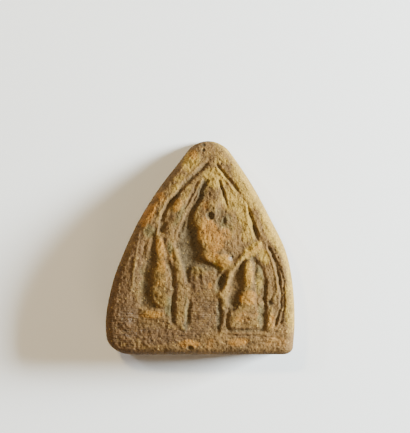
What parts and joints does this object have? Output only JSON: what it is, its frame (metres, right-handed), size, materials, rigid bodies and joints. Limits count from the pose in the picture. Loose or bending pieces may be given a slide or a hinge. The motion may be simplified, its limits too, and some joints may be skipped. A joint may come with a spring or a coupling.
{
  "type": "terracotta votive tablet",
  "caption": "Thick pointed-arch tablet of fired clay with worn seated figures in arched niches in relief; it lies on its flat back.",
  "frame": {"origin": "centre of the outline's box, on the flat back that the tablet lies on", "axes": "+X to the right seen from the front, +Y from the foot towards the apex, +Z out of the front"},
  "size_m": [0.1201, 0.1366, 0.0316],
  "materials": {
    "fired_clay": null
  },
  "bodies": {
    "root": {"tablet": "fired_clay"}
  },
  "joints": []
}
